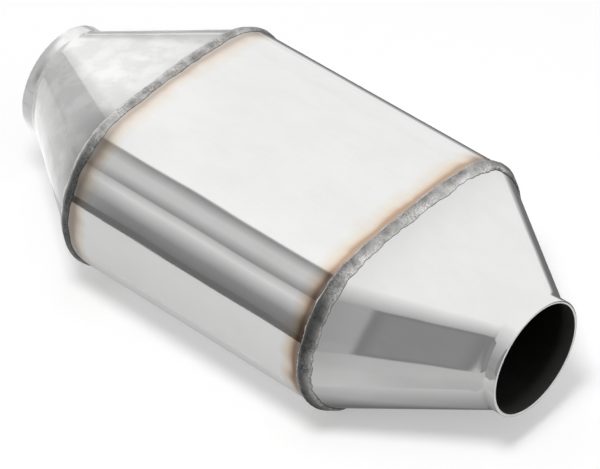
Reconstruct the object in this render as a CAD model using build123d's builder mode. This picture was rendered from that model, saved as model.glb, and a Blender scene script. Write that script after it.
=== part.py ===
from build123d import *
from math import atan2, ceil, degrees
import os

# A catalytic converter for a car's exhaust: an oval can of rolled sheet with a tapered cone welded
# to each end, and two ceramic bricks held inside. Exhaust gas runs along X, in at the -X collar and
# out at the +X collar. Z is up, the can is wide along Y, and the origin is the middle of the can.
# Sizes are in millimetres.

# Can
can_width = 150.0
can_height = 91.0
crown_radius = 400.0
can_wall = 1.5

# Cones
cone_wall = 1.5
taper_length = 66.0
collar_length = 7.0
pipe_diameter = 55.0
pipe_clearance = 0.2
root_bend = 6.0
mouth_edge = 0.3

# Weld beads round the two joints between can and cone, which lean a little over the cone
bead_radius = 3.8
bead_rise = 1.3
bead_lead = 0.3

# Seam welds along the underside, where each rolled sheet closes. A cone's seam starts under the
# ring weld, tucked a little past the can's edge.
seam_width = 4.0
seam_rise = 0.4
seam_tuck = 1.0

# Ceramic bricks, and the mats, seals and spacer that hold them. The can is as long as the bricks,
# the gap between them and the space left at each end.
brick_length = 60.0
brick_gap = 10.0
end_space = 8.0
mat_thickness = 4.0
seal_length = 6.0
seal_edge = 1.5
spacer_wall = 1.0
spacer_lap = 2.5

# Square gas cells through the bricks. A cell that the skin cuts short is left solid when less than
# this share of it remains.
cell_pitch = 8.0
cell_wall = 1.2
brick_skin = 1.0
least_share = 0.5

# The can's outline is four tangent arcs: a wide crown above and below, a round flank at each side.
crown_centre = crown_radius - can_height / 2
half_width = can_width / 2
flank_radius = (crown_radius**2 - crown_centre**2 - half_width**2) / (2 * (crown_radius - half_width))
flank_centre = half_width - flank_radius
meeting_angle = degrees(atan2(crown_centre, flank_centre))

# Places along the gas axis, and what the pieces share
brick_start = brick_gap / 2
brick_end = brick_start + brick_length
half_length = brick_end + end_space
can_length = 2 * half_length
collar_root = half_length + taper_length
mouth = collar_root + collar_length
collar_radius = pipe_diameter / 2 + pipe_clearance + cone_wall
mat_length = brick_length - 2 * seal_length
brick_inset = can_wall + mat_thickness
seam_radius = (seam_width**2 / 4 + seam_rise**2) / (2 * seam_rise)
seam_climb = seam_tuck * (can_height / 2 - collar_radius) / taper_length


def four_arcs(crown, crown_offset, flank, flank_offset):
    """Fill an outline of two crowns and two flanks, split where their tangents meet."""
    crown_sweep = 180 - 2 * meeting_angle
    flank_sweep = 2 * meeting_angle
    with BuildSketch(Plane.XY) as outline:
        with BuildLine():
            CenterArc((0, -crown_offset), crown, meeting_angle, crown_sweep)
            CenterArc((-flank_offset, 0), flank, 180 - meeting_angle, flank_sweep)
            CenterArc((0, crown_offset), crown, 180 + meeting_angle, crown_sweep)
            CenterArc((flank_offset, 0), flank, -meeting_angle, flank_sweep)
        make_face()
    return outline.sketch


def oval(inset=0.0):
    """The can's section, drawn a given distance inside its outer surface."""
    return four_arcs(crown_radius - inset, crown_centre, flank_radius - inset, flank_centre)


def save(piece, name):
    """Label a finished piece and write it to a file of its own."""
    piece.part.label = name
    export_step(piece.part, f"parts/{name}.step")


def save_pair(outlet_piece, name):
    """Write a piece of the outlet half, and its mirror image in the inlet half."""
    save(outlet_piece, f"outlet_{name}")
    with BuildPart() as inlet_piece:
        mirror(outlet_piece.part, about=Plane.YZ)
    save(inlet_piece, f"inlet_{name}")


os.makedirs("parts", exist_ok=True)

can_section = oval()
can_bore = oval(can_wall)
brick_section = oval(brick_inset)

# Filled outer form of the can
with BuildPart() as can_form:
    with BuildSketch(Plane.YZ.offset(-half_length)):
        add(can_section)
    extrude(amount=can_length)

# Filled outer form of the outlet cone: ruled from the oval to the round collar, between arcs whose
# tangents agree, then bent into the collar
collar_section = four_arcs(collar_radius, 0, collar_radius, 0)
with BuildPart() as cone_form:
    with BuildSketch(Plane.YZ.offset(half_length)):
        add(can_section)
    with BuildSketch(Plane.YZ.offset(collar_root)):
        add(collar_section)
    loft(ruled=True)
    with BuildSketch(Plane.YZ.offset(collar_root)):
        Circle(collar_radius)
    extrude(amount=collar_length)
    fillet(edges().filter_by_position(Axis.X, collar_root, collar_root), radius=root_bend)

# Can shell, one sheet rolled to the oval
with BuildPart() as can_shell:
    with BuildSketch(Plane.YZ.offset(-half_length)):
        add(can_section)
        add(can_bore, mode=Mode.SUBTRACT)
    extrude(amount=can_length)
save(can_shell, "can_shell")

# Cones, one sheet each, open at the can and at the collar that takes the pipe
with BuildPart() as outlet_cone:
    add(cone_form.part)
    ends = outlet_cone.faces().filter_by(Axis.X).sort_by(Axis.X)
    offset(amount=-cone_wall, openings=[ends[0], ends[-1]])
    chamfer(edges().group_by(Axis.X)[-1], length=mouth_edge)
save_pair(outlet_cone, "cone")

# Ring welds, a rounded bead that lies on the can's edge and runs down onto the cone
joint = Plane.YZ.offset(half_length) * can_section.face().outer_wire()
with BuildPart() as outlet_ring_weld:
    with BuildSketch(Plane(joint @ 0, x_dir=(1, 0, 0), z_dir=joint % 0)):
        with Locations((bead_lead, bead_rise - bead_radius)):
            Circle(bead_radius)
        Rectangle(2 * bead_radius, 2 * bead_radius, align=(Align.MAX, Align.MAX), mode=Mode.SUBTRACT)
    sweep(path=joint)
    add(cone_form.part, mode=Mode.SUBTRACT)
save_pair(outlet_ring_weld, "ring_weld")

# Section of the seam welds, a shallow slice of a circle that reaches as far into the sheet as it
# stands proud of it
with BuildSketch(Plane.XY) as seam_section:
    with Locations((0, seam_radius - seam_rise - can_height / 2)):
        Circle(seam_radius)
    with Locations((0, seam_rise - can_height / 2)):
        Rectangle(
            2 * seam_radius,
            2 * seam_radius,
            align=(Align.CENTER, Align.MIN),
            mode=Mode.SUBTRACT,
        )

# Can seam weld, a low bead along the underside from one ring weld to the other
with BuildPart() as can_seam_weld:
    with BuildSketch(Plane.YZ.offset(-half_length)):
        add(seam_section.sketch)
    extrude(amount=can_length)
    add(can_form.part, mode=Mode.SUBTRACT)
    add(outlet_ring_weld.part, mode=Mode.SUBTRACT)
    add(outlet_ring_weld.part.mirror(Plane.YZ), mode=Mode.SUBTRACT)
save(can_seam_weld, "can_seam_weld")

# Cone seam welds, the same low bead down each cone's underside and along its collar
with BuildPart() as outlet_cone_seam_weld:
    with BuildLine(Plane.XZ):
        FilletPolyline(
            (half_length + seam_tuck, seam_climb - can_height / 2),
            (collar_root, -collar_radius),
            (mouth - mouth_edge, -collar_radius),
            radius=root_bend,
        )
    with BuildSketch(Plane.YZ.offset(half_length + seam_tuck)):
        with Locations((0, seam_climb)):
            add(seam_section.sketch)
    sweep()
    add(cone_form.part, mode=Mode.SUBTRACT)
    add(outlet_ring_weld.part, mode=Mode.SUBTRACT)
save_pair(outlet_cone_seam_weld, "cone_seam_weld")

# Bricks, extruded ceramic with square cells from end to end
with BuildSketch(Plane.XY) as cell_grid:
    with GridLocations(cell_pitch, cell_pitch, ceil(can_width / cell_pitch), ceil(can_height / cell_pitch)):
        Rectangle(cell_pitch - cell_wall, cell_pitch - cell_wall)
    add(oval(brick_inset + brick_skin), mode=Mode.INTERSECT)
least_area = least_share * (cell_pitch - cell_wall) ** 2
open_cells = cell_grid.faces().filter_by(lambda cell: cell.area > least_area)

with BuildPart() as outlet_brick:
    with BuildSketch(Plane.YZ.offset(brick_start)):
        add(brick_section)
        add(open_cells, mode=Mode.SUBTRACT)
    extrude(amount=brick_length)
save_pair(outlet_brick, "brick")

# Mats, one wrap round each brick that fills the space to the can
with BuildPart() as outlet_mat:
    with BuildSketch(Plane.YZ.offset(brick_start + seal_length)):
        add(can_bore)
        add(brick_section, mode=Mode.SUBTRACT)
    extrude(amount=mat_length)
save_pair(outlet_mat, "mat")

# Outer seals, a knitted wire ring that shields the mat's end from the gas, with its edges broken
with BuildPart() as outlet_outer_seal:
    with BuildSketch(Plane.YZ.offset(brick_end - seal_length)):
        add(can_bore)
        add(brick_section, mode=Mode.SUBTRACT)
    extrude(amount=seal_length)
    chamfer(edges().group_by(Axis.X)[-1], length=seal_edge)
save_pair(outlet_outer_seal, "outer_seal")

# Inner seals, the same ring at the end that faces the spacer
with BuildPart() as outlet_inner_seal:
    with BuildSketch(Plane.YZ.offset(brick_start)):
        add(can_bore)
        add(brick_section, mode=Mode.SUBTRACT)
    extrude(amount=seal_length)
save_pair(outlet_inner_seal, "inner_seal")

# Brick spacer, a channel of thin sheet round the can's wall whose two flanges lap the brick faces
with BuildPart() as brick_spacer:
    with BuildSketch(Plane.YZ.offset(-brick_start)):
        add(can_bore)
        add(oval(brick_inset + spacer_lap), mode=Mode.SUBTRACT)
    extrude(amount=brick_gap)
    with BuildSketch(Plane.YZ.offset(spacer_wall - brick_start)):
        add(oval(can_wall + spacer_wall))
    extrude(amount=brick_gap - 2 * spacer_wall, mode=Mode.SUBTRACT)
save(brick_spacer, "brick_spacer")
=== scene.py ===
"""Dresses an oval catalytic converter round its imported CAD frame, in the same place and at the same size.

Gas runs along X. The can's section is four tangent arcs, each cone is ruled from that oval to a round
collar, and the weld beads, the fine brick cells and every finish are made here.
"""

import logging
import math
from dataclasses import dataclass, field
from enum import Enum
from typing import Callable, Mapping, Sequence

import bmesh
import bpy
from mathutils import Matrix, Vector, noise


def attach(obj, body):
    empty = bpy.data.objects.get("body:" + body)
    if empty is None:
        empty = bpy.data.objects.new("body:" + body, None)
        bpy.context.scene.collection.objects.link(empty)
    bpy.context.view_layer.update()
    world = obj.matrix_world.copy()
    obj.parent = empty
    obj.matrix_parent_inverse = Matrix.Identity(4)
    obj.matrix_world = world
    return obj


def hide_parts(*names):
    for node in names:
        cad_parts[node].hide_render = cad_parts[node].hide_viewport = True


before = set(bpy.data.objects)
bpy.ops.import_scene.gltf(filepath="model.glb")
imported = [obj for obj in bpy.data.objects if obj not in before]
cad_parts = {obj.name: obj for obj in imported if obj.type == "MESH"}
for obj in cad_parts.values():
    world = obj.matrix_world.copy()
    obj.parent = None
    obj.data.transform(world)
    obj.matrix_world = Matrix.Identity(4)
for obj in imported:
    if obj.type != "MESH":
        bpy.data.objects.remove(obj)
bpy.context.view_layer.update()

LOG = logging.getLogger("catalytic_converter")
MM = 0.001
BODY = "root"

MERGE = 0.001 * MM
SAME_PLACE = 0.002 * MM
SAME_RADIUS = 0.2 * MM
END_ON = 0.95

Colour = tuple[float, float, float]
Stop = tuple[float, Colour]


class End(Enum):
    """The two ends of the converter, by the sign of X."""

    INLET = -1
    OUTLET = 1

    @property
    def label(self) -> str:
        """The end's name, as the CAD nodes spell it."""
        return self.name.lower()


class Slot(Enum):
    """The record's material slots."""

    SHEET = "sheet_steel"
    WELD = "weld_metal"
    BRICK = "brick_ceramic"
    MAT = "mat_fibre"
    MESH = "wire_mesh"


# ---------------------------------------------------------------------------------------------------
# Shader building
# ---------------------------------------------------------------------------------------------------


@dataclass(frozen=True)
class Value:
    """A number that varies over a surface, with arithmetic that adds the Math nodes it needs."""

    nodes: "Nodes"
    socket: bpy.types.NodeSocket

    def math(self, operation: str, *others: "Value | float") -> "Value":
        """Join this value and others by one Math node.

        Args:
            operation: The Math node's operation.
            others: The node's further inputs, as values or plain numbers.

        Returns:
            The node's result.
        """
        sockets = {0: self} | {index + 1: other for index, other in enumerate(others)}
        return self.nodes.value("ShaderNodeMath", {"operation": operation}, sockets)

    def __add__(self, other: "Value | float") -> "Value":
        """This value plus another."""
        return self.math("ADD", other)

    def __sub__(self, other: "Value | float") -> "Value":
        """This value less another."""
        return self.math("SUBTRACT", other)

    def __rsub__(self, other: float) -> "Value":
        """A number less this value."""
        return self.math("MULTIPLY_ADD", -1.0, other)

    def __mul__(self, other: "Value | float") -> "Value":
        """This value times another."""
        return self.math("MULTIPLY", other)

    def __truediv__(self, other: "Value | float") -> "Value":
        """This value over another."""
        return self.math("DIVIDE", other)

    __radd__ = __add__

    def size(self) -> "Value":
        """This value without its sign."""
        return self.math("ABSOLUTE")

    def most(self, other: "Value | float") -> "Value":
        """The larger of this value and another."""
        return self.math("MAXIMUM", other)

    def share(self, low: float, high: float) -> "Value":
        """How far this value has come from low to high, smoothly, from 0 to 1.

        Args:
            low: The value at which the share is 0.
            high: The value at which it is 1, which may be below low.

        Returns:
            The share.
        """
        settings = {"interpolation_type": "SMOOTHSTEP"}
        return self.nodes.value("ShaderNodeMapRange", settings, {0: self, 1: low, 2: high})


class Nodes:
    """The node tree of one material or of the world."""

    def __init__(self, tree: bpy.types.NodeTree) -> None:
        """Start with an empty tree."""
        self.tree = tree
        tree.nodes.clear()

    def add(
        self,
        kind: str,
        settings: Mapping[str, object] | None = None,
        sockets: Mapping[int | str, object] | None = None,
    ) -> bpy.types.Node:
        """Add a node.

        Args:
            kind: The node's type.
            settings: Its properties, and under "stops" a colour ramp's places and colours.
            sockets: What goes into its inputs: a number, a colour, a socket or a Value.

        Returns:
            The node.
        """
        node = self.tree.nodes.new(kind)
        for name, setting in (settings or {}).items():
            if name == "stops":
                self.set_stops(node.color_ramp, setting)
            else:
                setattr(node, name, setting)
        for name, content in (sockets or {}).items():
            if isinstance(content, Value):
                content = content.socket
            if isinstance(content, bpy.types.NodeSocket):
                self.tree.links.new(content, node.inputs[name])
            else:
                node.inputs[name].default_value = content
        return node

    @staticmethod
    def set_stops(ramp: bpy.types.ColorRamp, stops: Sequence[Stop]) -> None:
        """Give a colour ramp its stops.

        Args:
            ramp: The ramp.
            stops: Each stop's place from 0 to 1 and its colour.
        """
        while len(ramp.elements) < len(stops):
            ramp.elements.new(1.0)
        for element, (place, colour) in zip(ramp.elements, stops):
            element.position = place
            element.color = (*colour, 1.0)

    def value(
        self,
        kind: str,
        settings: Mapping[str, object] | None = None,
        sockets: Mapping[int | str, object] | None = None,
        output: int | str = 0,
    ) -> Value:
        """Add a node and return one of its outputs as a number."""
        return Value(self, self.add(kind, settings, sockets).outputs[output])

    def place(self, scale: Sequence[float] = (1.0, 1.0, 1.0)) -> bpy.types.NodeSocket:
        """The point on the object in its own metres, stretched by scale."""
        coordinates = self.add("ShaderNodeTexCoord").outputs["Object"]
        return self.add("ShaderNodeMapping", None, {"Vector": coordinates, "Scale": scale}).outputs[0]

    def axes(self) -> tuple[Value, Value, Value]:
        """The point's three coordinates on the object, in millimetres."""
        place = self.place((1 / MM, 1 / MM, 1 / MM))
        parts = self.add("ShaderNodeSeparateXYZ", None, {0: place})
        return tuple(Value(self, parts.outputs[index]) for index in range(3))

    def speckle(self, size: Sequence[float], detail: float = 3.0, rough: float = 0.5) -> Value:
        """Soft noise from 0 to 1.

        Args:
            size: The width of a blotch along each axis, in millimetres.
            detail: How many finer layers it has.
            rough: How strong those are.

        Returns:
            The noise.
        """
        place = self.place(tuple(1 / (MM * width) for width in size))
        sockets = {"Vector": place, "Scale": 1.0, "Detail": detail, "Roughness": rough}
        return self.value("ShaderNodeTexNoise", None, sockets)

    def mix(
        self,
        share: Value | float,
        first: Colour | bpy.types.NodeSocket,
        second: Colour | bpy.types.NodeSocket,
        blend: str = "MIX",
    ) -> bpy.types.NodeSocket:
        """Blend two colours.

        Args:
            share: How much of the second shows.
            first: The colour below.
            second: The colour above.
            blend: How they blend.

        Returns:
            The blended colour.
        """
        settings = {"data_type": "RGBA", "blend_type": blend}
        colours = {6: self.full(first), 7: self.full(second)}
        return self.add("ShaderNodeMix", settings, {0: share} | colours).outputs[2]

    @staticmethod
    def full(colour: Colour | bpy.types.NodeSocket) -> object:
        """A plain colour with its alpha added, or a socket as it is."""
        return (*colour, 1.0) if isinstance(colour, tuple) else colour

    def ramp(self, share: Value, stops: Sequence[Stop]) -> bpy.types.NodeSocket:
        """The colour that a ramp of stops gives for a share from 0 to 1."""
        return self.add("ShaderNodeValToRGB", {"stops": stops}, {0: share}).outputs[0]

    def bump(self, height: Value, depth: float) -> bpy.types.NodeSocket:
        """A normal that follows a height.

        Args:
            height: The height, from 0 to 1.
            depth: What a height of 1 measures, in millimetres.

        Returns:
            The normal.
        """
        return self.add("ShaderNodeBump", None, {"Height": height, "Distance": depth * MM}).outputs[0]

    def surface(self, sockets: Mapping[str, object]) -> None:
        """Finish a material with a Principled surface of these inputs."""
        shader = self.add("ShaderNodeBsdfPrincipled", None, sockets)
        self.add("ShaderNodeOutputMaterial", None, {"Surface": shader.outputs[0]})


def material(name: str, dress: Callable[[Nodes], None]) -> bpy.types.Material:
    """Make a material.

    Args:
        name: Its name.
        dress: What fills its node tree.

    Returns:
        The material.
    """
    made = bpy.data.materials.new(name)
    made.use_nodes = True
    dress(Nodes(made.node_tree))
    return made


# ---------------------------------------------------------------------------------------------------
# Finishes
# ---------------------------------------------------------------------------------------------------


@dataclass(frozen=True)
class HeatTintAndPaintedShade:
    """Colours by the distance from a weld's toe, in millimetres: what heat leaves on the can beside a weld,
    and painted shade on the cones beside it.
    """

    stops: tuple[Stop, ...]

    def colour(self, nodes: Nodes, distance: Value) -> bpy.types.NodeSocket:
        """The tint's colour at a distance from the weld's toe."""
        reach = self.stops[-1][0]
        return nodes.ramp(distance * (1 / reach), [(place / reach, colour) for place, colour in self.stops])


@dataclass(frozen=True)
class SheetSteel:
    """Rolled stainless sheet, bright outside, with heat tint beside each ring weld. Millimetres.

    The tint is straw and brown on the outlet weld's side of the can, greyer at the inlet weld and darker
    round the flanks. The cones have no tint, only painted shade beside the weld, a grey darkening that is
    deepest on the inlet's near side.
    """

    colour: Colour = (0.845, 0.845, 0.84)
    roughness: float = 0.07
    weld_toe: float = 70.4
    cone_toe: float = 77.0
    crown_edge: float = 42.0
    flank_start: float = 54.0
    outlet_crown: HeatTintAndPaintedShade = HeatTintAndPaintedShade(
        (
            (0.8, (0.62, 0.46, 0.37)),
            (1.5, (0.60, 0.43, 0.32)),
            (2.4, (0.76, 0.57, 0.43)),
            (3.5, (0.92, 0.77, 0.64)),
            (5.2, (0.97, 0.90, 0.80)),
            (8.0, (0.99, 0.96, 0.91)),
            (11.0, (1.0, 1.0, 1.0)),
        )
    )
    outlet_flank: HeatTintAndPaintedShade = HeatTintAndPaintedShade(
        (
            (0.8, (0.32, 0.25, 0.20)),
            (1.8, (0.29, 0.20, 0.15)),
            (2.7, (0.43, 0.31, 0.23)),
            (3.8, (0.66, 0.52, 0.41)),
            (5.3, (0.84, 0.73, 0.63)),
            (7.5, (0.94, 0.87, 0.80)),
            (11.0, (1.0, 1.0, 1.0)),
        )
    )
    inlet_crown: HeatTintAndPaintedShade = HeatTintAndPaintedShade(
        (
            (0.8, (0.67, 0.60, 0.54)),
            (1.8, (0.65, 0.56, 0.49)),
            (2.7, (0.72, 0.62, 0.54)),
            (3.8, (0.86, 0.76, 0.68)),
            (5.3, (0.97, 0.88, 0.80)),
            (7.5, (0.99, 0.95, 0.90)),
            (11.0, (1.0, 1.0, 1.0)),
        )
    )
    inlet_flank: HeatTintAndPaintedShade = HeatTintAndPaintedShade(
        (
            (0.8, (0.43, 0.38, 0.35)),
            (2.7, (0.44, 0.38, 0.32)),
            (3.8, (0.55, 0.48, 0.40)),
            (5.3, (0.75, 0.66, 0.57)),
            (7.5, (0.92, 0.85, 0.77)),
            (11.0, (1.0, 1.0, 1.0)),
        )
    )
    # Painted shade on the cones beside the welds, not tint: a grey darkening by the distance from the cone's
    # toe.
    outlet_cone_painted_shade: HeatTintAndPaintedShade = HeatTintAndPaintedShade(
        ((0.0, (0.88, 0.88, 0.88)), (8.0, (0.94, 0.94, 0.94)), (20.0, (1.0, 1.0, 1.0)))
    )
    inlet_cone_painted_shade: HeatTintAndPaintedShade = HeatTintAndPaintedShade(
        (
            (0.0, (0.64, 0.64, 0.64)),
            (8.0, (0.78, 0.78, 0.78)),
            (16.0, (0.94, 0.94, 0.94)),
            (30.0, (1.0, 1.0, 1.0)),
        )
    )

    def tint(self, nodes: Nodes) -> bpy.types.NodeSocket:
        """Pick and blend the heat tints on the can and the painted shade on the cones by where the sheet is.

        Args:
            nodes: The material's nodes.

        Returns:
            The colour that the plain sheet is multiplied by.
        """
        along, across, _ = nodes.axes()
        waver = nodes.speckle((14.0, 8.0, 8.0), 1.0, 0.4) * 0.9 + 0.55
        from_can = (self.weld_toe - along.size()) / waver
        from_cone = (along.size() - self.cone_toe) / waver
        flank = across.size().share(self.crown_edge, self.flank_start)
        outlet = along.share(-1.0, 1.0)
        on_can = nodes.mix(
            outlet,
            nodes.mix(
                flank,
                self.inlet_crown.colour(nodes, from_can),
                self.inlet_flank.colour(nodes, from_can),
            ),
            nodes.mix(
                flank,
                self.outlet_crown.colour(nodes, from_can),
                self.outlet_flank.colour(nodes, from_can),
            ),
        )
        # Painted shade on the cones: the inlet cone's near side (-Y) takes the deeper shade, its far side and
        # the outlet cone the lighter one.
        painted_shade_on_cone = nodes.mix(
            outlet,
            nodes.mix(
                across.share(-46.0, -26.0),
                self.inlet_cone_painted_shade.colour(nodes, from_cone),
                self.outlet_cone_painted_shade.colour(nodes, from_cone),
            ),
            self.outlet_cone_painted_shade.colour(nodes, from_cone),
        )
        return nodes.mix(along.size().share(self.weld_toe, self.cone_toe), on_can, painted_shade_on_cone)

    def dress(self, nodes: Nodes) -> None:
        """Fill the material's tree: tint and painted shade by the welds, rolling marks, smudges and slight
        waves, cloudier at the inlet.
        """
        along, _, _ = nodes.axes()
        marks = nodes.speckle((45.0, 0.5, 0.5), 3.0, 0.6)
        blotches = nodes.speckle((25.0, 18.0, 18.0), 4.0, 0.55)
        smudges = nodes.speckle((11.0, 7.0, 7.0), 5.0, 0.6)
        shade = nodes.ramp(
            blotches * 0.5 + marks * 0.25 + smudges * 0.25,
            ((0.35, (0.955, 0.955, 0.955)), (0.60, (1.0, 1.0, 1.0))),
        )
        clouds = nodes.speckle((16.0, 12.0, 12.0), 4.0, 0.55).share(0.62, 0.40)
        inlet_cone = along.share(-self.weld_toe, -self.cone_toe)
        shade = nodes.mix(clouds * inlet_cone * 0.12, shade, (0.0, 0.0, 0.0))
        base = nodes.mix(1.0, nodes.mix(1.0, self.colour, shade, "MULTIPLY"), self.tint(nodes), "MULTIPLY")
        roughness = self.roughness + (blotches - 0.5) * 0.06 + (smudges - 0.5) * 0.05 + (marks - 0.5) * 0.03
        waves = nodes.speckle((60.0, 22.0, 22.0), 1.0, 0.4)
        nodes.surface(
            {
                "Base Color": base,
                "Metallic": 1.0,
                "Roughness": roughness,
                "Normal": nodes.bump(waves + marks * 0.0015, 0.35),
            }
        )


@dataclass(frozen=True)
class DarkInsideSteel:
    """The inside of the sheet, dulled and very dark."""

    colour: Colour = (0.050, 0.049, 0.048)

    def dress(self, nodes: Nodes) -> None:
        """Fill the material's tree: a very dark grey with slightly browner patches."""
        patches = nodes.speckle((7.0, 7.0, 7.0), 5.0, 0.6)
        grain = nodes.speckle((0.6, 0.6, 0.6), 3.0, 0.6)
        base = nodes.mix(patches.share(0.45, 0.7), self.colour, (0.046, 0.041, 0.036))
        nodes.surface(
            {
                "Base Color": base,
                "Metallic": 0.6,
                "Roughness": 0.5 + patches * 0.2,
                "Normal": nodes.bump(grain, 0.03),
            }
        )


@dataclass(frozen=True)
class WeldMetal:
    """A grey weld bead with a sandy grain, lighter at the inlet, with painted shading across it, lighter to
    the cone, and painted shade round the flanks.

    The attribute "across" runs over the bead from the can, 0, to the cone, 1. The attribute "edge" is 1 on
    the painted highlight along the edge that faces the inlet and -1 on the painted shade in the toe that
    faces the outlet.
    """

    # Painted shading across the bead from the can, 0, to the cone, 1: lighter on the crown, and painted shade
    # round the flanks.
    crown: tuple[Stop, ...] = (
        (0.0, (0.40, 0.395, 0.385)),
        (0.30, (0.36, 0.355, 0.345)),
        (0.55, (0.47, 0.465, 0.455)),
        (0.80, (0.64, 0.635, 0.62)),
        (1.0, (0.70, 0.695, 0.68)),
    )
    flank: tuple[Stop, ...] = (
        (0.0, (0.11, 0.11, 0.108)),
        (0.42, (0.15, 0.15, 0.148)),
        (0.62, (0.28, 0.278, 0.272)),
        (0.82, (0.50, 0.495, 0.485)),
        (1.0, (0.60, 0.595, 0.58)),
    )
    crown_edge: float = 44.0
    flank_start: float = 66.0
    inlet_gain: float = 1.35

    def dress(self, nodes: Nodes) -> None:
        """Fill the material's tree: tone, blotches, sandy patches, a few pits, and the two edges: a painted
        highlight and a painted shade line.
        """
        along, side, _ = nodes.axes()
        across = nodes.value("ShaderNodeAttribute", {"attribute_name": "across"}, None, "Fac")
        edge = nodes.value("ShaderNodeAttribute", {"attribute_name": "edge"}, None, "Fac")
        blotches = nodes.speckle((6.0, 6.0, 6.0), 3.0, 0.55)
        grain = nodes.speckle((0.8, 0.8, 0.8), 2.0, 0.6)
        sandy = nodes.speckle((12.0, 12.0, 12.0), 1.0, 0.5).share(0.42, 0.6) * 0.7 + 0.3
        pits = nodes.speckle((1.3, 1.3, 1.3), 2.0, 0.5).share(0.68, 0.76)
        flank = side.size().share(self.crown_edge, self.flank_start)
        # Painted shading: the tone across the bead, blended into the darker, painted shade of the flanks.
        tone = nodes.mix(flank, nodes.ramp(across, self.crown), nodes.ramp(across, self.flank))
        gain = nodes.ramp(along.share(1.0, -1.0), ((0.0, (1.0,) * 3), (1.0, (self.inlet_gain,) * 3)))
        tone = nodes.mix(1.0, tone, gain, "MULTIPLY")
        shade = (blotches - 0.5) * 1.1 + (grain - 0.5) * sandy * 1.6 + 0.5
        shades = nodes.ramp(shade, ((0.2, (0.45, 0.45, 0.45)), (0.8, (1.3, 1.3, 1.3))))
        tone = nodes.mix(1.0, tone, shades, "MULTIPLY")
        tone = nodes.mix(pits * 0.6, tone, (0.07, 0.065, 0.06))
        # Painted highlight along the bead's inlet-facing edge, broken up by noise.
        broken = nodes.speckle((7.0, 7.0, 7.0), 3.0, 0.6).share(0.38, 0.56) * 0.6 + 0.4
        bright = edge.share(0.1, 0.8) * broken
        tone = nodes.mix(bright * 0.85, tone, (0.88, 0.875, 0.86))
        # Painted shade in the toe that faces the outlet.
        base = nodes.mix(edge.share(-0.15, -0.8) * 0.8, tone, (0.05, 0.048, 0.045))
        nodes.surface(
            {
                "Base Color": base,
                "Metallic": 1.0,
                "Roughness": 0.30 + grain * 0.12 - bright * 0.2,
                "Normal": nodes.bump(grain * 0.5 + blotches * 0.5 - pits * 0.4, 0.13),
            }
        )


@dataclass(frozen=True)
class BrickCeramic:
    """Washcoated cordierite, matt and grainy."""

    colour: Colour = (0.42, 0.36, 0.29)

    def dress(self, nodes: Nodes) -> None:
        """Fill the material's tree: soot blotches and fine grain."""
        soot = nodes.speckle((9.0, 9.0, 9.0), 4.0, 0.6)
        grain = nodes.speckle((0.3, 0.3, 0.3), 2.0, 0.5)
        base = nodes.mix(soot.share(0.35, 0.75), self.colour, (0.27, 0.235, 0.2))
        nodes.surface(
            {
                "Base Color": base,
                "Roughness": 0.85 + grain * 0.1,
                "Normal": nodes.bump(grain, 0.05),
            }
        )


@dataclass(frozen=True)
class MatFibre:
    """Pressed ceramic fibre mat, off-white with vermiculite flakes."""

    colour: Colour = (0.80, 0.77, 0.70)

    def dress(self, nodes: Nodes) -> None:
        """Fill the material's tree: flakes, fibres and felted relief."""
        flakes = nodes.speckle((1.8, 1.8, 1.8), 2.0, 0.5).share(0.6, 0.7)
        fibres = nodes.speckle((3.0, 0.25, 0.25), 4.0, 0.7)
        base = nodes.mix(flakes, self.colour, (0.52, 0.42, 0.28))
        base = nodes.mix(fibres.share(0.4, 0.7) * 0.4, base, (0.92, 0.9, 0.86))
        nodes.surface(
            {
                "Base Color": base,
                "Roughness": 0.9 + fibres * 0.08,
                "Normal": nodes.bump(fibres, 0.2),
            }
        )


@dataclass(frozen=True)
class KnittedWire:
    """Fine steel wire knitted and pressed into a ring, with painted shade in the gaps between its loops."""

    colour: Colour = (0.55, 0.54, 0.52)
    loop: float = 0.9

    def dress(self, nodes: Nodes) -> None:
        """Fill the material's tree: crossing waves of wire, with the gaps between them painted dark as shade.
        """
        along, across, up = nodes.axes()
        turn = 2 * math.pi / self.loop
        one = ((along + across * 0.7 + up * 0.5) * turn).math("SINE")
        other = ((along - across * 0.7 - up * 0.5) * turn).math("SINE")
        wire = one.size().most(other.size())
        # Painted shade: the gaps between the wire loops are painted near black.
        base = nodes.mix(wire.share(0.35, 0.8), (0.06, 0.055, 0.05), self.colour)
        nodes.surface(
            {
                "Base Color": base,
                "Metallic": 0.9,
                "Roughness": 0.35 + nodes.speckle((0.8, 0.8, 0.8)) * 0.15,
                "Normal": nodes.bump(wire, 0.2),
            }
        )


# ---------------------------------------------------------------------------------------------------
# Forms shared by the pieces
# ---------------------------------------------------------------------------------------------------


@dataclass(frozen=True)
class Arc:
    """One arc of a section, which the spin operator follows about X."""

    centre: tuple[float, float]
    sweep: float
    steps: int


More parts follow.
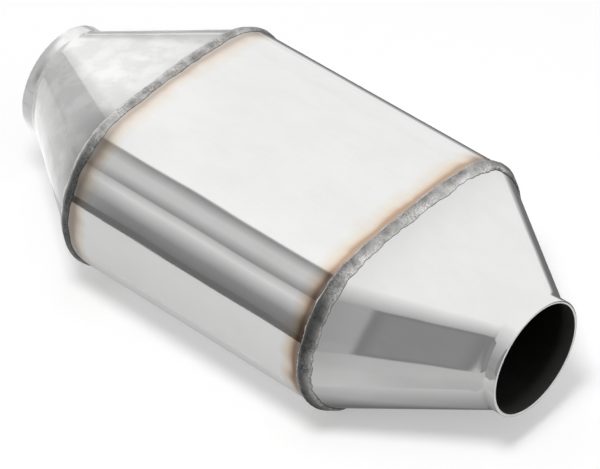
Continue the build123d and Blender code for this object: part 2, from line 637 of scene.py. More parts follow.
@dataclass(frozen=True)
class FourArcs:
    """A section of two crowns and two flanks whose tangents meet at one angle. Millimetres."""

    crown: float
    crown_centre: float
    flank: float
    flank_centre: float
    meeting_angle: float
    crown_steps: int = 24
    flank_steps: int = 110

    def arcs(self) -> list[Arc]:
        """The four arcs in order, from the crown's +Y end round by -Y."""
        over = math.pi - 2 * self.meeting_angle
        side = 2 * self.meeting_angle
        return [
            Arc((0.0, -self.crown_centre), over, self.crown_steps),
            Arc((-self.flank_centre, 0.0), side, self.flank_steps),
            Arc((0.0, self.crown_centre), over, self.crown_steps),
            Arc((self.flank_centre, 0.0), side, self.flank_steps),
        ]

    def start(self) -> tuple[float, float]:
        """The point in Y and Z where the first arc starts."""
        return (
            self.crown * math.cos(self.meeting_angle),
            self.crown * math.sin(self.meeting_angle) - self.crown_centre,
        )

    def spin(self, mesh: bmesh.types.BMesh, geometry: list) -> list:
        """Carry geometry once round the section.

        Args:
            mesh: The mesh.
            geometry: What starts at the section's start.

        Returns:
            The geometry where it comes back to the start.
        """
        for arc in self.arcs():
            made = bmesh.ops.spin(
                mesh,
                geom=geometry,
                cent=(0.0, arc.centre[0] * MM, arc.centre[1] * MM),
                axis=(1.0, 0.0, 0.0),
                angle=arc.sweep,
                steps=arc.steps,
            )
            geometry = made["geom_last"]
        return geometry

    def loop(self, mesh: bmesh.types.BMesh, along: float) -> list[bmesh.types.BMEdge]:
        """Draw the section as a closed loop of edges.

        Args:
            mesh: The mesh.
            along: Its place along X, in millimetres.

        Returns:
            The loop's edges.
        """
        before = set(mesh.edges)
        y, z = self.start()
        vertex = mesh.verts.new((along * MM, y * MM, z * MM))
        self.spin(mesh, [vertex])
        made = [edge for edge in mesh.edges if edge not in before]
        ends = list(dict.fromkeys(corner for edge in made for corner in edge.verts))
        bmesh.ops.remove_doubles(mesh, verts=ends, dist=MERGE)
        return [edge for edge in mesh.edges if edge not in before]

    def polar(self, y: float, z: float) -> tuple[float, float]:
        """Where a point stands by the section.

        Args:
            y: The point's Y, in millimetres.
            z: Its Z.

        Returns:
            The direction of the section's normal there, in radians, and the point's height over it.
        """
        side = math.copysign(self.flank_centre, y)
        flank = math.atan2(z, y - side)
        if abs(math.sin(flank)) <= math.sin(self.meeting_angle) and (y - side) * side >= 0:
            return flank, math.hypot(y - side, z) - self.flank
        drop = math.copysign(self.crown_centre, z)
        return math.atan2(z + drop, y), math.hypot(y, z + drop) - self.crown

    def reach(self, angle: float) -> float:
        """How far the section reaches along the direction of an angle, in millimetres."""
        if abs(math.sin(angle)) > math.sin(self.meeting_angle):
            return self.crown - self.crown_centre * abs(math.sin(angle))
        return self.flank + self.flank_centre * abs(math.cos(angle))


@dataclass(frozen=True)
class Body:
    """The driving sizes that the pieces share with the CAD solids. Millimetres."""

    can_width: float = 150.0
    can_height: float = 91.0
    crown_radius: float = 400.0
    can_wall: float = 1.5
    cone_wall: float = 1.5
    half_length: float = 73.0
    taper_length: float = 66.0
    collar_length: float = 7.0
    collar_radius: float = 29.2
    mouth_edge: float = 0.3

    @property
    def collar_root(self) -> float:
        """Where the taper meets the collar."""
        return self.half_length + self.taper_length

    @property
    def mouth(self) -> float:
        """Where the collar ends."""
        return self.collar_root + self.collar_length

    def section(self, inset: float = 0.0) -> FourArcs:
        """The can's section.

        Args:
            inset: How far inside the can's outer surface it lies.

        Returns:
            The section.
        """
        centre = self.crown_radius - self.can_height / 2
        half = self.can_width / 2
        flank = (self.crown_radius**2 - centre**2 - half**2) / (2 * (self.crown_radius - half))
        return FourArcs(
            crown=self.crown_radius - inset,
            crown_centre=centre,
            flank=flank - inset,
            flank_centre=half - flank,
            meeting_angle=math.atan2(centre, half - flank),
        )

    def collar_section(self) -> FourArcs:
        """The collar's circle, split at the same directions as the can's section."""
        radius = self.collar_radius
        return FourArcs(radius, 0.0, radius, 0.0, self.section().meeting_angle)


def finish_mesh(
    mesh: bmesh.types.BMesh,
    name: str,
    finishes: Sequence[bpy.types.Material],
    stands_for: str,
    crease: float = 35.0,
) -> bpy.types.Object:
    """Turn a bmesh into a finished piece that stands for a CAD node.

    Args:
        mesh: The mesh, which is freed.
        name: The piece's name.
        finishes: Its materials, by the faces' material index.
        stands_for: The CAD node that it replaces.
        crease: The angle past which an edge shows as a corner, in degrees.

    Returns:
        The piece's object.
    """
    for face in mesh.faces:
        face.smooth = True
    for edge in mesh.edges:
        edge.smooth = len(edge.link_faces) == 2 and edge.calc_face_angle(0.0) < math.radians(crease)
    data = bpy.data.meshes.new(name)
    mesh.to_mesh(data)
    mesh.free()
    for finish in finishes:
        data.materials.append(finish)
    piece = bpy.data.objects.new(name, data)
    bpy.context.scene.collection.objects.link(piece)
    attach(piece, BODY)
    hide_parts(stands_for)
    LOG.info("%s: %d faces", name, len(data.polygons))
    return piece


def dress_node(node: str, finish: bpy.types.Material) -> None:
    """Give a CAD node that stays as it is a finish.

    Args:
        node: The node's name.
        finish: Its material.
    """
    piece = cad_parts[node]
    for place in piece.material_slots:
        place.material = finish
    if not piece.material_slots:
        piece.data.materials.append(finish)
    LOG.info("%s: CAD solid, dressed", node)


# ---------------------------------------------------------------------------------------------------
# Pieces
# ---------------------------------------------------------------------------------------------------


@dataclass
class Casing:
    """The rolled can and the two cones that are welded to it."""

    body: Body
    sheet: SheetSteel = field(default_factory=SheetSteel)
    inside: DarkInsideSteel = field(default_factory=DarkInsideSteel)
    can_rows: int = 8
    cone_rows: int = 24
    bend_reach: float = 1.4
    bend_steps: int = 6
    mouth_steps: int = 3

    def build(self) -> None:
        """Build and dress the can and both cones."""
        outer = material("rolled_sheet", self.sheet.dress)
        inner = material("dark_inside", self.inside.dress)
        self.build_can([outer, inner])
        for end in End:
            self.build_cone(end, [outer, inner])

    def build_can(self, finishes: Sequence[bpy.types.Material]) -> None:
        """Extrude the oval loop into the can's shell.

        Args:
            finishes: The outer and the inner finish.
        """
        mesh = bmesh.new()
        edges = self.body.section().loop(mesh, -self.body.half_length)
        step = 2 * self.body.half_length / self.can_rows
        for _ in range(self.can_rows):
            made = bmesh.ops.extrude_edge_only(mesh, edges=edges)["geom"]
            edges = [item for item in made if isinstance(item, bmesh.types.BMEdge)]
            ends = [item for item in made if isinstance(item, bmesh.types.BMVert)]
            edges = [edge for edge in edges if all(corner in ends for corner in edge.verts)]
            bmesh.ops.translate(mesh, vec=(step * MM, 0.0, 0.0), verts=ends)
        self.thicken(mesh, self.body.can_wall)
        finish_mesh(mesh, "can_sheet", finishes, "can_shell")

    def build_cone(self, end: End, finishes: Sequence[bpy.types.Material]) -> None:
        """Bridge the oval to the collar's circle, bend it into the collar and give it a wall.

        Args:
            end: Which end the cone closes.
            finishes: The outer and the inner finish.
        """
        body = self.body
        mesh = bmesh.new()
        wide = body.section().loop(mesh, body.half_length)
        narrow = body.collar_section().loop(mesh, body.collar_root)
        bmesh.ops.bridge_loops(mesh, edges=wide + narrow)
        ruled = [
            edge
            for edge in mesh.edges
            if abs(edge.verts[0].co.x - edge.verts[1].co.x) > body.taper_length * MM / 2
        ]
        bmesh.ops.subdivide_edges(mesh, edges=ruled, cuts=self.cone_rows - 1, use_grid_fill=True)
        root = self.edges_at(mesh, body.collar_root)
        made = bmesh.ops.extrude_edge_only(mesh, edges=root)["geom"]
        lip = [item for item in made if isinstance(item, bmesh.types.BMVert)]
        bmesh.ops.translate(mesh, vec=(body.collar_length * MM, 0.0, 0.0), verts=lip)
        self.round_rings(mesh, body.collar_root, self.bend_reach, self.bend_steps)
        self.thicken(mesh, body.cone_wall)
        self.round_rings(mesh, body.mouth, body.mouth_edge, self.mouth_steps)
        if end is End.INLET:
            bmesh.ops.scale(mesh, vec=(-1.0, 1.0, 1.0), verts=mesh.verts)
            bmesh.ops.reverse_faces(mesh, faces=mesh.faces)
        finish_mesh(mesh, f"{end.label}_cone_sheet", finishes, f"{end.label}_cone")

    def round_rings(self, mesh: bmesh.types.BMesh, along: float, reach: float, steps: int) -> None:
        """Round the collar's ring edges at one place.

        Args:
            mesh: The cone.
            along: The place along X, in millimetres.
            reach: How far from the edge the rounding starts, in millimetres.
            steps: How many faces it takes.
        """
        bmesh.ops.bevel(
            mesh,
            geom=self.edges_at(mesh, along),
            offset=reach * MM,
            offset_type="OFFSET",
            segments=steps,
            profile=0.5,
            affect="EDGES",
            material=-1,
        )

    @staticmethod
    def edges_at(mesh: bmesh.types.BMesh, along: float) -> list[bmesh.types.BMEdge]:
        """The collar's ring edges at a place along X in millimetres, without those across its wall."""
        return [
            edge
            for edge in mesh.edges
            if all(abs(corner.co.x - along * MM) < SAME_PLACE for corner in edge.verts)
            and abs(edge.verts[0].co.yz.length - edge.verts[1].co.yz.length) < SAME_RADIUS
        ]

    @staticmethod
    def thicken(mesh: bmesh.types.BMesh, wall: float) -> None:
        """Give an open surface a wall inward, whose inner faces take the second finish.

        Args:
            mesh: The surface.
            wall: The wall, in millimetres.
        """
        bmesh.ops.recalc_face_normals(mesh, faces=mesh.faces)
        sample = max(mesh.faces, key=lambda face: face.calc_center_median().z)
        if sample.normal.z < 0:
            bmesh.ops.reverse_faces(mesh, faces=mesh.faces)
        outer = set(mesh.faces)
        bmesh.ops.solidify(mesh, geom=list(mesh.faces), thickness=wall * MM)
        inner = [face for face in mesh.faces if face not in outer]
        for face in inner:
            centre = face.calc_center_median()
            away = Vector((0.0, centre.y, centre.z))
            if face.normal.dot(away) < 0 and abs(face.normal.x) < END_ON:
                face.material_index = 1


@dataclass(frozen=True)
class Waver:
    """How a bead's edge wanders along its joint: slow noise with finer noise over it."""

    rate: float
    fine_rate: float
    fine_gain: float
    shift: tuple[float, float, float] = (0.0, 0.0, 0.0)
    fine_shift: tuple[float, float, float] = (0.0, 0.0, 0.0)

    def reach(self, station: Vector) -> float:
        """How far the edge has wandered at a station, either way."""
        slow = noise.noise(station * self.rate + Vector(self.shift))
        return slow + self.fine_gain * noise.noise(station * self.fine_rate + Vector(self.fine_shift))


@dataclass
class RingWeld:
    """A weld bead round one joint between can and cone, soft lumped, with wandering edges."""

    body: Body
    end: End
    finish: bpy.types.Material
    bead_radius: float = 3.8
    bead_rise: float = 1.3
    bead_lead: float = 0.3
    fine: int = 6
    profile_steps: int = 26
    arc_start: float = -115.0
    arc_sweep: float = 166.0
    tuck: float = 0.2
    # Where the painted highlight on the bead's inlet-facing edge starts and how wide it blends in, and how
    # wide the painted shade in the outlet-facing toe blends, in degrees.
    highlight_lean: float = 27.0
    highlight_blend: float = 5.0
    toe_shade_blend: float = 10.0
    ripple: float = 0.03
    ripple_pitch: float = 2.3
    ripple_bow: float = 0.11
    lump: float = 0.26
    lump_sink: float = 0.3
    lump_rate: tuple[float, float] = (0.35, 0.3)
    lump_drift: float = 0.02
    grain: float = 0.05
    grain_sink: float = 0.4
    grain_rate: float = 1.6
    wander: float = 1.5
    wander_share: float = 0.22
    noise_shift: float = 7.0
    cone_edge: Waver = Waver(0.10, 0.3, 0.45, fine_shift=(3.0, 1.0, 7.0))
    can_edge: Waver = Waver(0.12, 0.35, 0.35, shift=(5.0, 9.0, 2.0))

    def build(self) -> None:
        """Spin the bead's profile round the joint, then work its surface."""
        section = self.body.section()
        mesh = bmesh.new()
        self.spin_profile(mesh, section)
        across = mesh.verts.layers.float.new("across")
        edge = mesh.verts.layers.float.new("edge")
        for corner in mesh.verts:
            corner[across], corner[edge] = self.place_across(corner.co / MM, section)
            corner.co = self.worked(corner.co / MM, section) * MM
        self.close(mesh)
        if self.end is End.INLET:
            bmesh.ops.scale(mesh, vec=(-1.0, 1.0, 1.0), verts=mesh.verts)
        bmesh.ops.recalc_face_normals(mesh, faces=mesh.faces)
        name = f"{self.end.label}_ring_weld"
        finish_mesh(mesh, f"{name}_bead", [self.finish], name, crease=80.0)

    def spin_profile(self, mesh: bmesh.types.BMesh, section: FourArcs) -> None:
        """Draw the bead's arc by a spin, and carry it round the section by another.

        Args:
            mesh: The empty mesh.
            section: The section that the joint follows.
        """
        angle = section.meeting_angle
        outward = Vector((0.0, math.cos(angle), math.sin(angle)))
        tangent = Vector((0.0, -math.sin(angle), math.cos(angle)))
        foot = Vector((self.body.half_length + self.bead_lead, *section.start()))
        centre = foot + outward * (self.bead_rise - self.bead_radius)
        turn = Matrix.Rotation(math.radians(self.arc_start), 3, tangent)
        start = centre + turn @ outward * self.bead_radius
        vertex = mesh.verts.new(start * MM)
        bmesh.ops.spin(
            mesh,
            geom=[vertex],
            cent=centre * MM,
            axis=tangent,
            angle=math.radians(self.arc_sweep),
            steps=self.profile_steps,
        )
        section.spin(mesh, [*mesh.verts, *mesh.edges])
        bmesh.ops.remove_doubles(mesh, verts=mesh.verts, dist=MERGE)
        runs = [edge for edge in mesh.edges if abs(edge.verts[0].co.x - edge.verts[1].co.x) < MERGE]
        bmesh.ops.subdivide_edges(mesh, edges=runs, cuts=self.fine - 1, use_grid_fill=True)

    def place_across(self, point: Vector, section: FourArcs) -> tuple[float, float]:
        """Where a point is across the bead, by how far the bead leans there along X.

        Args:
            point: The point on the smooth bead, in millimetres.
            section: The section that the joint follows.

        Returns:
            The share from the can's toe, 0, to the cone's, 1, and the edge, a mask of painted light: 1 for
            the painted highlight where the bead leans furthest towards the inlet, -1 for the painted shade in
            the toe towards the outlet, and 0 between.
        """
        height = section.polar(point.y, point.z)[1]
        _, run, slope = self.level(point, section)
        drop = self.bead_radius - self.bead_rise
        fall = math.atan(slope)
        reach = math.acos((drop - slope * self.bead_lead) * math.cos(fall) / self.bead_radius)
        can_toe, cone_toe = -math.acos(drop / self.bead_radius), fall + reach
        lean = math.atan2(run - self.bead_lead, height + drop)
        share = min(1.0, max(0.0, (lean - can_toe) / (cone_toe - can_toe)))
        tilt, toe = (lean, cone_toe) if self.end is End.OUTLET else (-lean, -can_toe)
        # The painted highlight where the bead leans towards the inlet, and the painted shade in the toe
        # towards the outlet.
        bright = min(1.0, max(0.0, (-math.degrees(tilt) - self.highlight_lean) / self.highlight_blend))
        dark = min(1.0, max(0.0, 1 - math.degrees(toe - tilt) / self.toe_shade_blend))
        return share, bright - dark

    def level(self, point: Vector, section: FourArcs) -> tuple[float, float, float]:
        """How high a point stands over the sheets, how far along X from the joint, and the cone's slope."""
        angle, height = section.polar(point.y, point.z)
        run = point.x - self.body.half_length
        slope = (section.reach(angle) - self.body.collar_radius) / self.body.taper_length
        return height + slope * max(0.0, run), run, slope

    def worked(self, point: Vector, section: FourArcs) -> Vector:
        """Move a point of the smooth bead as the weld pool would leave it.

        Args:
            point: The point, in millimetres.
            section: The section that the joint follows.

        Returns:
            The moved point.
        """
        angle, height = section.polar(point.y, point.z)
        level, run, slope = self.level(point, section)
        outward = Vector((0.0, math.cos(angle), math.sin(angle)))
        place = point - outward * height
        station = Vector((self.noise_shift * self.end.value, place.y, place.z))
        side = run - self.bead_lead
        edge = (self.can_edge if side < 0 else self.cone_edge).reach(station)
        stretch = side * self.wander * self.wander_share * edge
        travel = self.travel(angle, place) + self.ripple_bow * side * side
        pool = math.cos(2 * math.pi * travel / self.ripple_pitch)
        along, round_it = self.lump_rate
        lumps = Vector((point.x * along, place.y * round_it, place.z * round_it)) + station * self.lump_drift
        swell = self.lump * (noise.noise(lumps) - self.lump_sink)
        sand = self.grain * (noise.noise(point * self.grain_rate) - self.grain_sink)
        share = min(1.0, max(0.0, level / self.bead_rise))
        lift = share * (self.ripple * (pool - 1) + swell + sand)
        level = min(self.bead_rise, max(-self.tuck, level + lift))
        new_run = run + stretch
        new_height = level - slope * max(0.0, new_run)
        return Vector((self.body.half_length + new_run, place.y, place.z)) + outward * new_height

    def travel(self, angle: float, place: Vector) -> float:
        """How far along the joint a point is, in millimetres, near enough to space the ripples."""
        section = self.body.section()
        if abs(math.sin(angle)) > math.sin(section.meeting_angle):
            return place.y * math.copysign(1.0, place.z)
        return section.flank * angle

    def close(self, mesh: bmesh.types.BMesh) -> None:
        """Close the bead's underside between its two toes, inside the sheet."""
        rims = [edge for edge in mesh.edges if edge.is_boundary]
        bmesh.ops.bridge_loops(mesh, edges=rims)


@dataclass
class Bricks:
    """The two ceramic bricks, with the fine square cells that the solids only stand for."""

    body: Body
    finish: bpy.types.Material
    brick_start: float = 5.0
    brick_length: float = 60.0
    inset: float = 5.5
    cell_pitch: float = 1.5
    cell_wall: float = 0.22
    skin: float = 0.7

    def build(self) -> None:
        """Build and dress both bricks."""
        for end in End:
            self.build_brick(end)

    def build_brick(self, end: End) -> None:
        """Grid the face, open the cells, and run their walls through the brick.

        Args:
            end: Which brick it is.
        """
        section = self.body.section(self.inset)
        across = math.ceil(self.body.can_width / self.cell_pitch)
        up = math.ceil(self.body.can_height / self.cell_pitch)
        mesh = bmesh.new()
        skin = section.loop(mesh, 0.0)
        grid = bmesh.ops.create_grid(mesh, x_segments=across, y_segments=up, size=0.5)["verts"]
        spread = (across * self.cell_pitch * MM, up * self.cell_pitch * MM, 1.0)
        bmesh.ops.scale(mesh, vec=spread, verts=grid)
        bmesh.ops.rotate(mesh, matrix=Matrix(((0, 0, 1), (1, 0, 0), (0, 1, 0))), verts=grid)
        outside = [
            face
            for face in mesh.faces
            if any(section.polar(c.co.y / MM, c.co.z / MM)[1] > -self.skin for c in face.verts)
        ]
        bmesh.ops.delete(mesh, geom=outside, context="FACES")
        cells = list(mesh.faces)
        rims = [edge for edge in mesh.edges if edge.is_boundary]
        bmesh.ops.inset_individual(mesh, faces=cells, thickness=self.cell_wall * MM / 2, use_even_offset=True)
        bmesh.ops.delete(mesh, geom=cells, context="FACES_ONLY")
        bmesh.ops.triangle_fill(mesh, use_beauty=True, use_dissolve=False, edges=rims + skin)
        bmesh.ops.translate(mesh, vec=(self.brick_start * MM, 0.0, 0.0), verts=mesh.verts)
        self.run_through(mesh)
        if end is End.INLET:
            bmesh.ops.scale(mesh, vec=(-1.0, 1.0, 1.0), verts=mesh.verts)
        bmesh.ops.recalc_face_normals(mesh, faces=mesh.faces)
        name = f"{end.label}_brick"
        finish_mesh(mesh, f"{name}_cells", [self.finish], name)

    def run_through(self, mesh: bmesh.types.BMesh) -> None:
        """Extrude the whole face to the brick's other end."""
        bmesh.ops.recalc_face_normals(mesh, faces=mesh.faces)
        made = bmesh.ops.extrude_face_region(mesh, geom=list(mesh.faces), use_keep_orig=True)["geom"]
        far = [item for item in made if isinstance(item, bmesh.types.BMVert)]
        bmesh.ops.translate(mesh, vec=(self.brick_length * MM, 0.0, 0.0), verts=far)


@dataclass
class Packing:
    """The mats, seals and spacer that hold the bricks, which keep their CAD solids."""

    def dress(self, sheet: bpy.types.Material) -> None:
        """Give each of them its finish.

        Args:
            sheet: The finish of the spacer's thin sheet.
        """
        mat = material("pressed_fibre", MatFibre().dress)
        wire = material("knitted_wire", KnittedWire().dress)
        for end in End:
            dress_node(f"{end.label}_mat", mat)
            dress_node(f"{end.label}_outer_seal", wire)
            dress_node(f"{end.label}_inner_seal", wire)
        dress_node("brick_spacer", sheet)


# ---------------------------------------------------------------------------------------------------
# Studio
# ---------------------------------------------------------------------------------------------------


class Seen(Enum):
    """What meets a piece of the stage."""

    BY_ALL = "camera, light and metal"
    IN_METAL = "mirrored in metal only"


@dataclass(frozen=True)
class Band:
    """A strip of the tent between two angles about X, shading from one grey to another.

    Angles are in degrees, 0 towards +Y, 90 up and 180 towards -Y.
    """

    start: float
    end: float
    grey: float
    far_grey: float

    def stops(self, low: float, high: float, soft: float) -> list[Stop]:
        """The band's two stops on a ramp between two angles, drawn in a little at each end."""
        ends = ((self.start + soft, self.grey), (self.end - soft, self.far_grey))
        return [((angle - low) / (high - low), (grey, grey, grey)) for angle, grey in ends]


@dataclass(frozen=True)
class Bay:
    """One length of the tent, from a place along X onwards, blended in over some metres.

    Its bands shade into each other over twice soft, in degrees.
    """

    start: float
    blend: float
    soft: float
    bands: tuple[Band, ...]

    def grey(self, nodes: Nodes, share: Value, low: float, high: float) -> bpy.types.NodeSocket:
        """The bay's grey where the angle is a given share of the way between two limits."""
        return nodes.ramp(share, [stop for band in self.bands for stop in band.stops(low, high, self.soft)])


@dataclass(frozen=True)
class Tent:
    """The surround that the metal mirrors: white overhead, darker in front, striped towards the inlet."""

    radius: float = 2.0
    reach: float = 4.4
    low: float = -10.0
    high: float = 190.0
    end_grey: float = 0.635
    bays: tuple[Bay, ...] = (
        Bay(
            -4.4,
            0.15,
            2.5,
            (
                Band(-10.0, 20.0, 0.64, 0.80),
                Band(20.0, 42.0, 1.06, 1.14),
                Band(42.0, 62.0, 1.02, 0.71),
                Band(62.0, 110.0, 0.72, 0.66),
                Band(110.0, 190.0, 0.63, 0.60),
            ),
        ),
        Bay(
            -1.95,
            0.15,
            3.0,
            (
                Band(-10.0, 70.0, 1.0, 1.1),
                Band(70.0, 110.0, 1.05, 0.66),
                Band(110.0, 150.0, 0.58, 0.40),
                Band(150.0, 190.0, 0.40, 0.72),
            ),
        ),
        Bay(
            -1.33,
            0.07,
            0.4,
            (
                Band(-10.0, 30.0, 1.0, 0.98),
                Band(30.0, 102.5, 1.0, 1.06),
                Band(102.5, 105.5, 0.50, 0.27),
                Band(105.5, 117.0, 0.32, 0.63),
                Band(117.0, 127.0, 0.65, 0.64),
                Band(127.0, 139.5, 0.61, 0.29),
                Band(139.5, 150.0, 0.55, 0.78),
                Band(150.0, 168.0, 0.72, 0.29),
                Band(168.0, 190.0, 0.27, 0.165),
            ),
        ),
        Bay(
            -0.95,
            0.05,
            3.0,
            (
                Band(-10.0, 104.0, 0.98, 0.98),
                Band(104.0, 140.0, 0.90, 0.58),
                Band(140.0, 170.0, 0.52, 0.34),
                Band(170.0, 190.0, 0.34, 0.34),
            ),
        ),
        Bay(
            0.5,
            0.1,
            1.0,
            (
                Band(-10.0, 10.0, 0.95, 0.97),
                Band(10.0, 108.0, 0.98, 0.98),
                Band(108.0, 130.0, 0.92, 0.50),
                Band(130.0, 190.0, 0.42, 0.41),
            ),
        ),
    )


@dataclass(frozen=True)
class Card:
    """A dark card near the cone, where the metal mirrors it, rolled by some degrees. Metres.

    It is a little darker along its rim, and fades out at the very edge.
    """

    centre: tuple[float, float, float]
    facing: tuple[float, float, float]
    width: float
    height: float
    roll: float
    grey: float
    rim_grey: float
    rim: float = 0.012
    fade: float = 0.004


@dataclass(frozen=True)
class FloorSheet:
    """A sheet laid on the floor and mirrored in metal only, shading from one grey at its near edge to another
    at its far one. Metres. Some are painted shadow: the converter's own shadow on the floor, as the metal
    mirrors it.

    Its inlet edge shades in from the floor's grey over the length soft. Towards its near edge, its two
    ends run off to -X by the slants, in metres for each metre. Towards the outlet, its near and far
    edges run off to +Y by the tilts. A higher level lies over a lower one.
    """

    along: tuple[float, float]
    across: tuple[float, float]
    grey: float
    far_grey: float
    soft: float = 0.0
    slants: tuple[float, float] = (0.0, 0.0)
    tilts: tuple[float, float] = (0.0, 0.0)
    level: int = 1


@dataclass
class Studio:
    """Floor, world, lamp, the tent that the metal mirrors, and the photograph's camera."""

    tent: Tent = field(default_factory=Tent)
    tent_steps: int = 64
    floor_reach: float = 6.0
    floor_level: float = -46.8
    sheet_lift: float = 0.5
    floor_grey: float = 0.70
    floor_lift: float = 0.34
    world_strength: float = 0.5
    lamp_energy: float = 15.0
    lamp_place: tuple[float, float, float] = (0.22, -0.52, 1.53)
    lamp_size: float = 0.45
    card_cells: int = 24
    sensor_width: float = 36.0
    photo_width: int = 600
    far_clip: float = 50.0
    cards: tuple[Card, ...] = (
        Card((0.1467, -0.0886, 0.0335), (-0.5463, 0.812, -0.2054), 0.060, 0.092, 11.0, 0.275, 0.235),
    )
    sheets: tuple[FloorSheet, ...] = (
        FloorSheet((-4.4, -0.9), (-2.0, 2.0), 0.60, 0.60),
        FloorSheet((-0.305, -0.05), (-2.0, -0.368), 0.16, 0.16, slants=(0.63, 0.54), level=2),
        FloorSheet((0.05, 0.10), (-2.0, -0.14), 0.27, 0.36, slants=(0.57, 0.02), level=3),
        # Painted shadow: the converter's own shadow on the floor behind it, fading out, as the metal mirrors
        # it.
        FloorSheet((-0.17, 0.30), (0.08, 0.19), 0.14, 0.20, level=2),
        FloorSheet((-0.26, 0.45), (0.19, 0.30), 0.22, 0.85, level=2),
        FloorSheet((-1.60, 1.50), (0.30, 2.0), 0.95, 1.0, level=2),
        FloorSheet((-0.80, -0.29), (0.14, 0.48), 0.50, 0.70, slants=(0.0, -0.1), level=3),
        FloorSheet((-0.90, -0.34), (-0.08, -0.022), 0.62, 0.78, level=2),
        FloorSheet((-0.90, -0.34), (-0.022, 0.06), 0.78, 0.90, level=2),
        FloorSheet((-0.34, -0.14), (-0.08, -0.022), 0.64, 0.78, tilts=(-0.18, -0.18), level=2),
        FloorSheet((-0.34, -0.14), (-0.022, 0.01), 0.78, 1.08, tilts=(-0.18, -0.18), level=2),
        FloorSheet((-0.34, -0.14), (0.01, 0.06), 1.08, 1.08, tilts=(-0.18, -0.18), level=2),
        FloorSheet((0.06, 0.80), (-0.11, -0.03), 0.54, 0.44, soft=0.08, level=2),
        FloorSheet((0.06, 0.80), (-0.26, -0.11), 0.50, 0.54, soft=0.08, level=2),
        FloorSheet((0.06, 2.00), (-2.0, -0.26), 0.40, 0.44, soft=0.08, level=2),
        # Painted shadow: the converter's own shadow on the floor under the can and the outlet cone, as the
        # metal mirrors it.
        FloorSheet((-0.10, 0.06), (-0.075, -0.03), 0.62, 0.24, level=3),
        FloorSheet((-0.10, 0.06), (-0.03, 0.08), 0.24, 0.18, level=3),
        FloorSheet((0.06, 0.15), (-0.100, -0.070), 0.58, 0.16, tilts=(0.44, 0.85), level=3),
        FloorSheet((0.06, 0.15), (-0.070, 0.08), 0.16, 0.16, tilts=(0.85, 0.0), level=3),
    )

    def build(self) -> None:
        """Set the studio up round the converter."""
        self.build_floor()
        self.build_world()
        self.build_lamp()
        self.build_tent()
        self.build_end_wall()
        for number, sheet in enumerate(self.sheets):
            self.build_sheet(sheet, f"floor_sheet_{number}")
        for number, card in enumerate(self.cards):
            self.build_card(card, f"card_{number}")
        self.build_camera()
        bpy.context.scene.view_settings.view_transform = "Standard"

    def build_floor(self) -> None:
        """Lay the plain pale floor under the ring welds."""
        mesh = bmesh.new()
        bmesh.ops.create_grid(mesh, x_segments=1, y_segments=1, size=self.floor_reach)
        bmesh.ops.translate(mesh, vec=(0.0, 0.0, self.floor_level * MM), verts=mesh.verts)
        self.stage(mesh, "floor", material("pale_floor", self.dress_floor))

    def dress_floor(self, nodes: Nodes) -> None:
        """Matt pale paper, which the camera sees a little lighter, so that it is white out of the shadow."""
        grain = nodes.speckle((2.0, 2.0, 2.0))
        grey = self.floor_grey
        base = nodes.mix(grain, (grey - 0.01,) * 3, (grey + 0.01,) * 3)
        seen = Value(nodes, nodes.add("ShaderNodeLightPath").outputs["Is Camera Ray"])
        nodes.surface(
            {
                "Base Color": base,
                "Roughness": 0.95,
                "Specular IOR Level": 0.0,
                "Emission Color": (1.0, 1.0, 1.0, 1.0),
                "Emission Strength": seen * self.floor_lift,
            }
        )

    def build_world(self) -> None:
        """Light the room evenly, and show it white to the camera and in mirrored metal."""
        world = bpy.data.worlds.new("studio")
        world.use_nodes = True
        bpy.context.scene.world = world
        nodes = Nodes(world.node_tree)
        rays = nodes.add("ShaderNodeLightPath").outputs
        seen = Value(nodes, rays["Is Camera Ray"]).most(Value(nodes, rays["Is Glossy Ray"]))
        seen = seen.most(Value(nodes, rays["Is Transmission Ray"]))
        strength = seen * (1 - self.world_strength) + self.world_strength
        room = nodes.add("ShaderNodeBackground", None, {"Color": (1.0, 1.0, 1.0, 1.0), "Strength": strength})
        nodes.add("ShaderNodeOutputWorld", None, {"Surface": room.outputs[0]})

    def build_lamp(self) -> None:
        """Hang one soft lamp overhead, a little to the near side, so that the shadow stays close."""
        lamp = bpy.data.lights.new("soft_lamp", "AREA")
        lamp.shape = "DISK"
        lamp.size = self.lamp_size
        lamp.energy = self.lamp_energy
        holder = bpy.data.objects.new("soft_lamp", lamp)
        holder.location = self.lamp_place
        holder.rotation_euler = Vector(self.lamp_place).to_track_quat("Z", "Y").to_euler()
        holder.visible_glossy = False
        bpy.context.scene.collection.objects.link(holder)

    def build_tent(self) -> None:
        """Spin the tent over the converter, from floor to floor."""
        mesh = bmesh.new()
        reach, radius = self.tent.reach, self.tent.radius
        ends = [mesh.verts.new((along, radius, 0.0)) for along in (-reach, reach)]
        edge = mesh.edges.new(ends)
        dip = math.asin(-self.floor_level * MM / radius)
        bmesh.ops.rotate(mesh, matrix=Matrix.Rotation(-dip, 3, "X"), verts=mesh.verts)
        bmesh.ops.spin(
            mesh,
            geom=[edge, *ends],
            cent=(0.0, 0.0, 0.0),
            axis=(1.0, 0.0, 0.0),
            angle=math.pi + 2 * dip,
            steps=self.tent_steps,
        )
        self.stage(mesh, "tent", material("tent_glow", self.dress_tent), Seen.IN_METAL)

    def dress_tent(self, nodes: Nodes) -> None:
        """Shade each bay of the tent by the angle about X."""
        along, across, up = nodes.axes()
        low, high = self.tent.low, self.tent.high
        lean = across.math("ARCTAN2", up) * (180 / math.pi)
        share = (90.0 - lean - low) * (1 / (high - low))
        first, *others = self.tent.bays
        seen = first.grey(nodes, share, low, high)
        for bay in others:
            past = along.share((bay.start - bay.blend) / MM, (bay.start + bay.blend) / MM)
            seen = nodes.mix(past, seen, bay.grey(nodes, share, low, high))
        self.glowing(nodes, seen)

